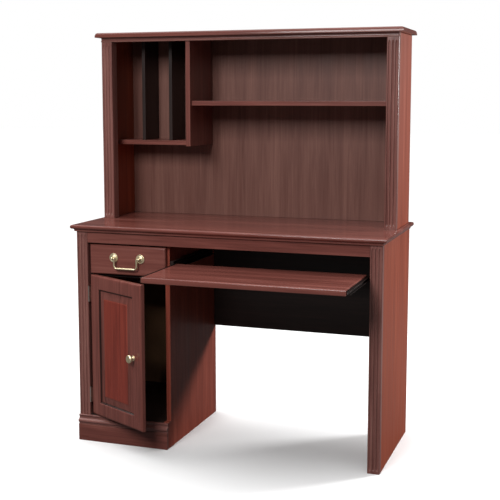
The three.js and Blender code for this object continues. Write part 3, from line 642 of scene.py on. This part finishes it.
TRAY_EDGE = 0.001 * np.concatenate([
    [[5.5, 0]],
    arc(5, 5, 5, 5, -math.pi / 2, -math.pi, 9),
    [[0, 15.8]],
    arc(2.2, 15.8, 2.2, 2.2, math.pi, math.pi / 2, 5)[1:],
])
low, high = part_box("keyboard_tray")
closed_mesh("keyboard_tray_moulded", moulded_slab(low, high, TRAY_EDGE), level_finish, "tray",
            "keyboard_tray")
painted_steel = metal("brown_painted_steel", paint(46, 36, 33), 0.5, tarnish=0.4)
dress(painted_steel, "tray_slide_left_fixed", "tray_slide_left_moving", "tray_slide_right_fixed",
      "tray_slide_right_moving", arris=0)
# The spacer and the packer take the near-black painted shade.
dress(shaded_level_finish, "tray_slide_spacer", "tray_slide_packer")

# ---------------------------------------------------------------- hutch top and cornice
# The cap is a 16 mm board whose edge slopes out in one long round to a sharp lower edge. The cornice
# under it is a thin rail with a hollow run along it between two narrow flats.

CAP_EDGE = 0.001 * np.concatenate([
    [[9, 0]],
    arc(8, 14, 8, 14, -math.pi / 2, -math.pi, 16),
    [[0, 15.8], [0.3, 16]],
])
low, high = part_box("hutch_top")
closed_mesh("hutch_cap_moulded", moulded_slab(low, high, CAP_EDGE), level_finish, "frame",
            "hutch_top")

low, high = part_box("hutch_cornice")
CORNICE_REACH_MM = 2
cornice_mm = 1000 * (high[2] - low[2])
CORNICE = 0.001 * np.concatenate([
    [[20, 0], [20, cornice_mm], [-CORNICE_REACH_MM, cornice_mm]],
    arc(-CORNICE_REACH_MM, 8.5, 3.5, 5, math.pi / 2, -math.pi / 2, 16),
    [[-CORNICE_REACH_MM, 1.2], [-1.4, 0.3], [-0.6, 0]],
])
cornice_place = [low[1] + 0.001 * CORNICE_REACH_MM, low[2]]
closed_mesh("hutch_cornice_run", length_of_moulding(low[0], high[0], CORNICE + cornice_place), cap_sheen_finish,
            "frame", "hutch_cornice")

# ---------------------------------------------------------------- hutch boards
# A printed back, an upright partition and laminated shelves. The two thin dividers stand in the
# back half of the left bay and make three book slots.

BACK_DARK = paint(100, 62, 54)
BACK_MIDDLE = paint(120, 80, 70)
BACK_LIGHT = paint(140, 98, 86)
back_finish = cherry("printed_back", "Z", BACK_DARK, BACK_MIDDLE, BACK_LIGHT, gloss=0.45, wear_and_highlight=0.0)
upright_finish = cherry("cherry_upright", "Z", FRONT_DARK, FRONT_MIDDLE, FRONT_LIGHT, gloss=0.32)
dress(back_finish, "hutch_back", arris=0)
dress(upright_finish, "hutch_partition")
dress(rail_finish, "hutch_shelf_left", "hutch_shelf_right")
# The bay dividers take the near-black painted shade.
dress(shaded_upright_finish, "bay_divider_left", "bay_divider_right")

# ---------------------------------------------------------------- studio
# A plain pale floor under one broad light overhead, with a lamp behind on the right and a soft fill
# from straight ahead. Floor and backdrop look paler to the camera than they shine on the desk.

FLOOR_HALF = 30.0
FLOOR_SHINES = 0.10
FLOOR_SEEN = 0.98
BACKDROP_SHINES = 0.08
floor_mesh = bpy.data.meshes.new("floor")
floor_mesh.from_pydata([(-FLOOR_HALF, -FLOOR_HALF, 0), (FLOOR_HALF, -FLOOR_HALF, 0),
                        (FLOOR_HALF, FLOOR_HALF, 0), (-FLOOR_HALF, FLOOR_HALF, 0)], [], [(0, 1, 2, 3)])
floor = bpy.data.objects.new("floor", floor_mesh)
bpy.context.scene.collection.objects.link(floor)
floor_finish, floor_shader, floor_node, floor_link = blank_finish("pale_floor")
floor_shader.inputs["Roughness"].default_value = 0.9
floor_shader.inputs["Specular IOR Level"].default_value = 0.1
floor_seen = floor_node("ShaderNodeLightPath")
floor_tone = floor_node("ShaderNodeMapRange", To_Min=FLOOR_SHINES, To_Max=FLOOR_SEEN)
floor_link(floor_seen.outputs["Is Camera Ray"], floor_tone.inputs["Value"])
floor_link(floor_tone.outputs["Result"], floor_shader.inputs["Base Color"])
floor_mesh.materials.append(floor_finish)
floor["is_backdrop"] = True

world = bpy.data.worlds.new("studio")
bpy.context.scene.world = world
world.use_nodes = True
sky = world.node_tree
backdrop = sky.nodes["Background"]
backdrop.inputs["Color"].default_value = (1, 1, 1, 1)
dim = sky.nodes.new("ShaderNodeBackground")
dim.inputs["Strength"].default_value = BACKDROP_SHINES
seen = sky.nodes.new("ShaderNodeLightPath")
choice = sky.nodes.new("ShaderNodeMixShader")
sky.links.new(seen.outputs["Is Camera Ray"], choice.inputs["Fac"])
sky.links.new(dim.outputs["Background"], choice.inputs[1])
sky.links.new(backdrop.outputs["Background"], choice.inputs[2])
sky.links.new(choice.outputs["Shader"], sky.nodes["World Output"].inputs["Surface"])


def studio_lamp(name, kind, place, aim, power, **settings):
    """Lamp of the given kind at `place`, turned to face `aim`, and not seen itself."""
    lamp = bpy.data.lights.new(name, kind)
    lamp.energy = power
    for setting, value in settings.items():
        setattr(lamp, setting, value)
    holder = bpy.data.objects.new(name, lamp)
    bpy.context.scene.collection.objects.link(holder)
    from_to = np.array(aim) - np.array(place)
    holder.location = place
    holder.rotation_euler = (math.acos(-from_to[2] / np.linalg.norm(from_to)), 0,
                             math.atan2(from_to[1], from_to[0]) - math.pi / 2)
    holder.visible_camera = False


studio_lamp("overhead", "SUN", (-1.0, 0.5, 5.0), (0.0, 0.0, 0.0), 3.5, angle=math.radians(80))
studio_lamp("rear_right", "AREA", (2.7, 1.9, 1.45), (0.1, 0.2, 0.5), 90, size=0.6)
studio_lamp("front_fill", "AREA", (-0.3, -3.0, 2.5), (-0.1, 0.0, 1.1), 78, size=1.2)

LENS = 73.43
TURN = 19.19
TILT = 6.85
SHIFT = -0.06
STANDS_AT = (1.1575, -3.1443, 1.1775)
camera = bpy.data.cameras.new("camera")
camera.lens = LENS
camera.sensor_width = 36
camera.shift_y = SHIFT
camera.clip_end = 90
holder = bpy.data.objects.new("camera", camera)
bpy.context.scene.collection.objects.link(holder)
holder.location = STANDS_AT
holder.rotation_euler = (math.radians(90 - TILT), 0, math.radians(TURN))
bpy.context.scene.camera = holder
bpy.context.scene.view_settings.view_transform = "Standard"

low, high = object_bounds()
